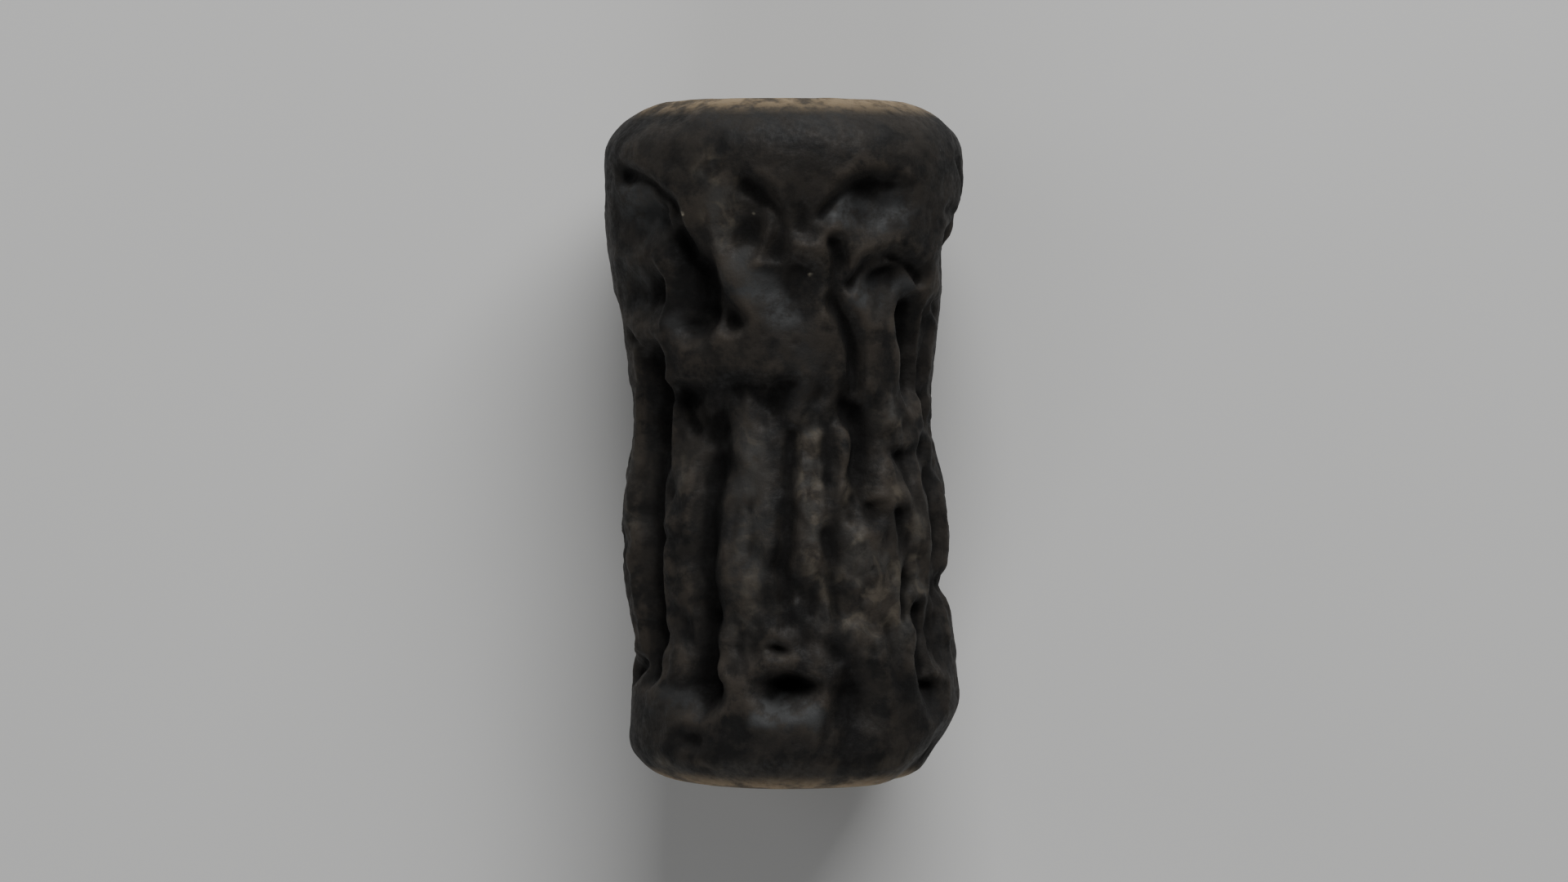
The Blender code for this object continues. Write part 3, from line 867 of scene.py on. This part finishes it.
def carve(mesh, sizes):
    """Cuts the figures into the skin and wears it; returns what the material needs to know of each point."""
    place = read_points(mesh)
    share = place[:, 2] / SEAL_LENGTH
    radius = np.hypot(place[:, 0], place[:, 1])
    angle = np.degrees(np.arctan2(place[:, 0], -place[:, 1]))
    across = sizes.wander * (noise_at(place, EDGE_GRAIN, 3) + 0.5 * noise_at(place, FINE_EDGE_GRAIN, 5))
    up = sizes.wander * (noise_at(place, EDGE_GRAIN, 7) + 0.5 * noise_at(place, FINE_EDGE_GRAIN, 9))
    angle = angle + np.degrees(across / BELLY_RADIUS)
    cut = carved_depth(angle, share + up / SEAL_LENGTH)
    finer = CUT_UNEVENNESS * noise_at(place, CUT_GRAIN, 11)
    wider = CUT_UNEVENNESS * noise_at(place, WIDE_CUT_GRAIN, 12)
    cut = cut * (1.0 + finer + wider)
    folds = ease((FOLDS_TOP - share) / FOLDS_TOP_FADE) * ease((share - FOLDS_HEM) / FOLDS_HEM_FADE)
    drawn_out = noise_at(place * np.array([1.0, 1.0, FOLD_STRETCH]), FOLD_GRAIN, 13)
    cut = cut + folds * sizes.folds * np.clip(drawn_out, 0.0, None)
    lumps = grain_at(place * np.array([1.0, 1.0, LUMP_STRETCH]), LUMP_GRAIN, 33, 2)
    lumpy = LUMPS_ELSEWHERE + (1.0 - LUMPS_ELSEWHERE) * folds
    cut = cut + sizes.lumps * lumpy * np.clip(lumps + LUMP_SHIFT, LUMP_RISE, None)
    sunk = sunk_below(angle, np.clip(share + up / SEAL_LENGTH, 0.0, 1.0), cut)
    stray = PATCH_WANDER * noise_at(place, PATCH_GRAIN, 41)
    astray = PATCH_WANDER * noise_at(place, PATCH_GRAIN, 43)
    about = angle + np.degrees(stray / BELLY_RADIUS), share + (up + astray) / SEAL_LENGTH
    marks = {
        "sunk": sunk / MM,
        # The next three marks say where painted sheen, painted shade and painted highlights go into the
        # stone's colour.
        "painted_sheen": patched(*about, painted_sheen_places()),
        "painted_shade": patched(*about, painted_shade_places()),
        "painted_highlight": patched(*about, painted_highlight_places()),
        "speck": patched(angle, share, pale_specks()),
    }
    uneven = BROAD_WEAR * (0.5 + 0.5 * grain_at(place, WEAR_GRAIN, 15, 2))
    uneven = uneven + RIPPLE * np.abs(noise_at(place, RIPPLE_GRAIN, 19))
    uneven = uneven + FINE_RIPPLE * np.abs(noise_at(place, FINE_RIPPLE_GRAIN, 21))
    dents = pits_at(place, PIT_SPACING, 23, PITS_FILLED, PIT_WIDTH)
    small_dents = pits_at(place, SMALL_PIT_SPACING, 29, SMALL_PITS_FILLED, SMALL_PIT_WIDTH)
    dents = dents + SMALL_PIT_DEPTH * small_dents
    down = cut + sizes.wear * (uneven - WEAR_MIDDLE) + sizes.pits * dents
    on_skin = ease((radius - MOUTH_RADIUS * WEAR_STARTS) / (MOUTH_RADIUS * WEAR_FADE))
    down = down * on_skin
    lean = axis_lean(share)
    moved = place * (1.0 - down / radius)[:, None]
    moved[:, 2] = place[:, 2]
    flat_end = np.minimum(share, 1.0 - share) < 1e-5
    scuff = SCUFF_DEPTH * on_skin * np.clip(0.5 + noise_at(place, SCUFF_GRAIN, 31), 0.0, None)
    moved[:, 2] += np.where(flat_end, np.where(share < 0.5, scuff, -scuff), 0.0)
    moved[:, 0] += lean
    mesh.vertices.foreach_set("co", moved.ravel())
    return marks


def end_wear_and_rim_light(mesh):
    """How much tan wear, brightened to a painted rim highlight, each point of the upright stone has: most on
    the outer ring of both end faces.
    """
    place = read_points(mesh)
    share = place[:, 2] / SEAL_LENGTH
    near_end = np.minimum(share, 1.0 - share) * SEAL_LENGTH
    outwards = ease((np.hypot(place[:, 0], place[:, 1]) - END_WEAR_RADIUS) / END_WEAR_FADE)
    return ease(1.0 - near_end / END_WEAR_HEIGHT) * (END_WEAR_INSIDE + (1.0 - END_WEAR_INSIDE) * outwards)


def lay_down(mesh):
    """Lays the stone on its back, wears a flat on each rim, and fits it to the solid's place."""
    rims_apart = (TOP_RIM_AT - LOW_RIM_AT) * SEAL_LENGTH
    tilt = math.atan((TOP_RIM_RADIUS - LOW_RIM_RADIUS) / rims_apart)
    turn = Matrix.Rotation(tilt - math.pi / 2, 4, "X")
    low_rim = turn @ Vector((0.0, LOW_RIM_RADIUS, LOW_RIM_AT * SEAL_LENGTH))
    mesh.transform(Matrix.Translation((0.0, 0.0, -low_rim.z - FLAT_DEPTH)) @ turn)
    place = read_points(mesh)
    place[:, 2] = np.clip(place[:, 2], 0.0, None)
    low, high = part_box(NODE)
    middle = (place.max(axis=0) + place.min(axis=0)) / 2.0
    place[:, 0] += (low.x + high.x) / 2.0 - middle[0]
    place[:, 1] += (low.y + high.y) / 2.0 - middle[1]
    mesh.vertices.foreach_set("co", place.ravel())
    mesh.update()


def keep_on_points(mesh, name, values):
    """Stores one number for each point, for the material to read."""
    layer = mesh.attributes.new(name, "FLOAT", "POINT")
    layer.data.foreach_set("value", np.asarray(values, np.float32))


def standing_proud(mesh, rounds):
    """How far each point stands out of its surroundings, or, below 0, how far it lies back, in metres."""
    ends = np.zeros(len(mesh.edges) * 2, np.int64)
    mesh.edges.foreach_get("vertices", ends)
    ends = ends.reshape(-1, 2)
    place = read_points(mesh)
    count = np.bincount(ends.ravel(), minlength=len(place))[:, None]
    soft = place.copy()
    for _ in range(rounds):
        near = np.stack(
            [
                np.bincount(ends[:, 0], soft[ends[:, 1], axis], len(place))
                + np.bincount(ends[:, 1], soft[ends[:, 0], axis], len(place))
                for axis in range(3)
            ],
            axis=-1,
        )
        soft = near / count
    normals = np.zeros(len(place) * 3)
    mesh.vertex_normals.foreach_get("vector", normals)
    return np.sum((place - soft) * normals.reshape(-1, 3), axis=1)


class Nodes:
    """A short way to lay out a material's nodes."""

    def __init__(self, name):
        self.material = bpy.data.materials.new(name)
        self.material.use_nodes = True
        self.tree = self.material.node_tree
        self.shader = self.tree.nodes["Principled BSDF"]

    def put(self, kind, **settings):
        """A new node with its plain settings."""
        node = self.tree.nodes.new(kind)
        for key, value in settings.items():
            setattr(node, key, value)
        return node

    def link(self, start, end):
        """Joins an output to an input."""
        self.tree.links.new(start, end)

    def give(self, socket, value):
        """Links an output to the input, or sets it to a number or colour."""
        if isinstance(value, bpy.types.NodeSocket):
            self.link(value, socket)
        else:
            socket.default_value = value

    def attribute(self, name):
        """A number kept on the mesh's points."""
        return self.put("ShaderNodeAttribute", attribute_name=name).outputs["Fac"]

    def noise(self, size, detail=3.0, roughness=0.55, stretch=(1.0, 1.0, 1.0), warp=0.0):
        """Noise with lumps of the given size in metres, on Object coordinates."""
        place = self.put("ShaderNodeTexCoord").outputs["Object"]
        scaled = self.put("ShaderNodeMapping")
        self.link(place, scaled.inputs["Vector"])
        scaled.inputs["Scale"].default_value = stretch
        noise = self.put("ShaderNodeTexNoise")
        self.link(scaled.outputs["Vector"], noise.inputs["Vector"])
        noise.inputs["Scale"].default_value = 1.0 / size
        noise.inputs["Detail"].default_value = detail
        noise.inputs["Roughness"].default_value = roughness
        noise.inputs["Distortion"].default_value = warp
        return noise.outputs["Fac"]

    def cells(self, size):
        """Distance to scattered points, one to a cell of the given size in metres."""
        place = self.put("ShaderNodeTexCoord").outputs["Object"]
        cells = self.put("ShaderNodeTexVoronoi")
        self.link(place, cells.inputs["Vector"])
        cells.inputs["Scale"].default_value = 1.0 / size
        return cells.outputs["Distance"]

    def ramp(self, value, low, high, start=0.0, end=1.0):
        """The value moved smoothly from one range to another and held at its ends."""
        node = self.put("ShaderNodeMapRange", interpolation_type="SMOOTHSTEP", clamp=True)
        self.give(node.inputs["Value"], value)
        node.inputs["From Min"].default_value = low
        node.inputs["From Max"].default_value = high
        node.inputs["To Min"].default_value = start
        node.inputs["To Max"].default_value = end
        return node.outputs["Result"]

    def math(self, kind, first, second):
        """One sum."""
        node = self.put("ShaderNodeMath", operation=kind)
        self.give(node.inputs[0], first)
        self.give(node.inputs[1], second)
        return node.outputs["Value"]

    def mix(self, share, first, second):
        """Two colours mixed. A Mix node has sockets for every kind of data, so its colours go by number."""
        node = self.put("ShaderNodeMix", data_type="RGBA")
        self.give(node.inputs["Factor"], share)
        self.give(node.inputs[6], first)
        self.give(node.inputs[7], second)
        return node.outputs[2]

    def bump(self, height, distance, strength, under=None):
        """Fine relief, in metres."""
        node = self.put("ShaderNodeBump")
        self.link(height, node.inputs["Height"])
        node.inputs["Distance"].default_value = distance
        node.inputs["Strength"].default_value = strength
        if under is not None:
            self.link(under, node.inputs["Normal"])
        return node.outputs["Normal"]


def stone_material(colours):
    """Black stone with brown clouds, painted bluish sheen, painted highlights, painted shade in the cuts and
    hollows, tan ends brightened to a painted rim highlight, and a soft polish.
    """
    n = Nodes("black_stone")
    proud = n.attribute("proud")
    painted_sheen = n.attribute("painted_sheen")
    ends = n.attribute("ends")
    sunk = n.attribute("sunk")
    painted_shade = n.attribute("painted_shade")
    painted_highlight = n.attribute("painted_highlight")
    speck = n.attribute("speck")
    clouds = n.noise(1.9 * MM, detail=5.0, roughness=0.65, warp=0.5)
    mottle = n.noise(0.7 * MM, detail=5.0, roughness=0.62)
    fine = n.noise(0.16 * MM, detail=4.0, roughness=0.6)
    patches = n.math("ADD", n.ramp(clouds, 0.42, 0.58, 0.0, 0.5), n.ramp(mottle, 0.42, 0.58, 0.0, 0.5))
    colour = n.mix(patches, tuple(colours.stone), tuple(colours.grey_brown))
    raised = n.math("MULTIPLY", n.ramp(sunk, -0.02, -0.16), n.ramp(mottle, 0.35, 0.62))
    colour = n.mix(raised, colour, tuple(colours.brown))
    # Painted highlights: paler grey with cream flecks where the light catches the arm and the ridges of the
    # robes.
    browner = n.ramp(n.noise(1.1 * MM, detail=3.0, warp=0.5), 0.42, 0.58)
    paler = n.mix(browner, tuple(colours.highlight_grey), tuple(colours.brown))
    colour = n.mix(n.math("MULTIPLY", painted_highlight, n.ramp(mottle, 0.3, 0.6, 0.25, 1.0)), colour, paler)
    flecks = n.math("MULTIPLY", painted_highlight, n.ramp(n.noise(0.75 * MM, detail=4.0, warp=0.8), 0.47, 0.7))
    colour = n.mix(n.math("MULTIPLY", flecks, 0.7), colour, tuple(colours.highlight_cream))
    # Painted sheen: bluish grey where the light glances off the dish floors, the arm and the upper rim.
    smooth = n.math("MULTIPLY", n.ramp(painted_sheen, 0.0, 1.0), n.ramp(mottle, 0.6, 0.42, 0.2, 1.0))
    colour = n.mix(smooth, colour, tuple(colours.painted_sheen))
    # Painted shade: near black under the arm, round the rims, in the long cuts and beside the feet.
    shaded_share = n.math("MULTIPLY", painted_shade, n.ramp(mottle, 0.7, 0.45, 0.45, 0.95))
    colour = n.mix(shaded_share, colour, tuple(colours.painted_shade_colour))
    # Painted shade: near black down in narrow deep cuts and where the skin lies back from its surroundings,
    # with a rougher finish there.
    unshaded = n.math("MAXIMUM", n.ramp(sunk, 0.32, 0.0, 0.15, 1.0), n.ramp(painted_sheen, 0.1, 0.8, 0.0, 0.8))
    unshaded = n.math("MULTIPLY", n.ramp(proud, -0.08, 0.0, 0.5, 1.0), unshaded)
    colour = n.mix(unshaded, tuple(colours.painted_shade_colour), colour)
    # Tan wear on the ends, brightened into a painted rim highlight.
    worn_end_and_rim_light = n.math("MULTIPLY", ends, n.ramp(mottle, 0.35, 0.6, 0.2, 1.0))
    colour = n.mix(worn_end_and_rim_light, colour, tuple(colours.tan))
    crumbs = n.ramp(n.cells(0.9 * MM), 0.1, 0.05)
    specks = n.math("MULTIPLY", crumbs, n.ramp(n.noise(1.3 * MM), 0.6, 0.66, 0.0, 0.35))
    colour = n.mix(n.math("MAXIMUM", specks, n.ramp(speck, 0.2, 0.7)), colour, tuple(colours.speck))
    n.link(colour, n.shader.inputs["Base Color"])
    rough = n.math("ADD", n.ramp(unshaded, 0.2, 0.9, 0.9, 0.64), n.ramp(fine, 0.35, 0.65, -0.05, 0.1))
    n.link(rough, n.shader.inputs["Roughness"])
    grain = n.bump(fine, 0.03 * MM, 0.4)
    scratch = n.noise(0.12 * MM, detail=2.0, stretch=(1.0, 0.12, 1.0), warp=0.6)
    normal = n.bump(scratch, 0.02 * MM, 0.4, grain)
    normal = n.bump(mottle, 0.12 * MM, 0.4, normal)
    n.link(normal, n.shader.inputs["Normal"])
    n.shader.inputs["Metallic"].default_value = 0.0
    n.shader.inputs["IOR"].default_value = 1.5
    n.shader.inputs["Specular IOR Level"].default_value = 0.2
    return n.material


def floor_material(colours):
    """Plain pale matte floor."""
    n = Nodes("pale_floor")
    unevenness = n.ramp(n.noise(6.0 * MM, detail=2.0), 0.3, 0.7, 0.0, 0.03)
    tone = n.mix(unevenness, tuple(colours.floor), (0.5, 0.5, 0.5, 1.0))
    n.link(tone, n.shader.inputs["Base Color"])
    n.shader.inputs["Roughness"].default_value = 0.85
    return n.material


class SEAL_OT_stone(bpy.types.Operator):
    """Carve the seal out of its stone and lay it down"""

    bl_idname = "seal.stone"
    bl_label = "Carve the stone"

    def execute(self, context):
        sizes = context.scene.seal_sizes
        steps = int(2.0 * math.pi * LOW_RIM_RADIUS / sizes.spacing) - STEPS_SPARED
        mesh = turned_mesh("carved_seal", half_section(sizes.spacing), steps)
        marks = carve(mesh, sizes)
        marks["ends"] = end_wear_and_rim_light(mesh)
        lay_down(mesh)
        marks["proud"] = standing_proud(mesh, PROUD_ROUNDS) / MM
        for name, values in marks.items():
            keep_on_points(mesh, name, values)
        mesh.shade_smooth()
        mesh.materials.append(stone_material(context.scene.seal_colours))
        stone = bpy.data.objects.new("carved_seal", mesh)
        context.scene.collection.objects.link(stone)
        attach(stone, "root")
        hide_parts(NODE)
        return {"FINISHED"}


def area_light(name, target, place, size, power):
    """A soft light at a place, turned to a target."""
    data = bpy.data.lights.new(name, "AREA")
    data.shape = "RECTANGLE"
    data.size, data.size_y = size
    data.energy = power
    light = bpy.data.objects.new(name, data)
    light.location = place
    light.rotation_euler = (Vector(target) - Vector(place)).to_track_quat("-Z", "Y").to_euler()
    bpy.context.scene.collection.objects.link(light)


class SEAL_OT_stage(bpy.types.Operator):
    """Set the floor, the soft studio lights and the camera"""

    bl_idname = "seal.stage"
    bl_label = "Set the stage"

    def execute(self, context):
        scene = context.scene
        low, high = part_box(NODE)
        middle = (low + high) / 2.0
        bm = bmesh.new()
        bmesh.ops.create_grid(bm, x_segments=1, y_segments=1, size=FLOOR_REACH)
        mesh = bpy.data.meshes.new("floor")
        bm.to_mesh(mesh)
        bm.free()
        mesh.materials.append(floor_material(scene.seal_colours))
        floor = bpy.data.objects.new("floor", mesh)
        floor.location = (0.0, 0.0, -FLOOR_DROP)
        scene.collection.objects.link(floor)
        area_light("top_light", middle, *TOP_LIGHT)
        area_light("left_fill", middle, *LEFT_FILL)
        area_light("low_fill", middle, *LOW_FILL)
        world = bpy.data.worlds.new("soft_room")
        world.use_nodes = True
        world.node_tree.nodes["Background"].inputs["Color"].default_value = ROOM_COLOUR
        world.node_tree.nodes["Background"].inputs["Strength"].default_value = ROOM_STRENGTH
        scene.world = world
        data = bpy.data.cameras.new("camera")
        data.lens = CAMERA_LENS
        data.sensor_width = CAMERA_SENSOR
        data.clip_start, data.clip_end = CAMERA_RANGE
        camera = bpy.data.objects.new("camera", data)
        tall = (high.y - low.y) * CAMERA_VIEW
        away = tall * CAMERA_LENS / (CAMERA_SENSOR * PICTURE_SHAPE)
        camera.location = (middle.x, middle.y, high.z * VIEW_LEVEL + away)
        scene.collection.objects.link(camera)
        scene.camera = camera
        return {"FINISHED"}


class SEAL_PT_panel(bpy.types.Panel):
    """The seal's tools and values"""

    bl_label = "Carved cylinder seal"
    bl_idname = "SEAL_PT_panel"
    bl_space_type = "VIEW_3D"
    bl_region_type = "UI"
    bl_category = "Seal"

    def draw(self, context):
        for group in (context.scene.seal_sizes, context.scene.seal_colours):
            for name in group.__annotations__:
                self.layout.prop(group, name)
        self.layout.operator("seal.stone")
        self.layout.operator("seal.stage")


CLASSES = (SealSizes, SealColours, SEAL_OT_stone, SEAL_OT_stage, SEAL_PT_panel)


def register():
    for each in CLASSES:
        bpy.utils.register_class(each)
    bpy.types.Scene.seal_sizes = bpy.props.PointerProperty(type=SealSizes)
    bpy.types.Scene.seal_colours = bpy.props.PointerProperty(type=SealColours)


def unregister():
    del bpy.types.Scene.seal_colours
    del bpy.types.Scene.seal_sizes
    for each in reversed(CLASSES):
        bpy.utils.unregister_class(each)


def main():
    """Makes the seal and its stage."""
    register()
    bpy.ops.seal.stone()
    bpy.ops.seal.stage()


if __name__ == "__main__":
    main()
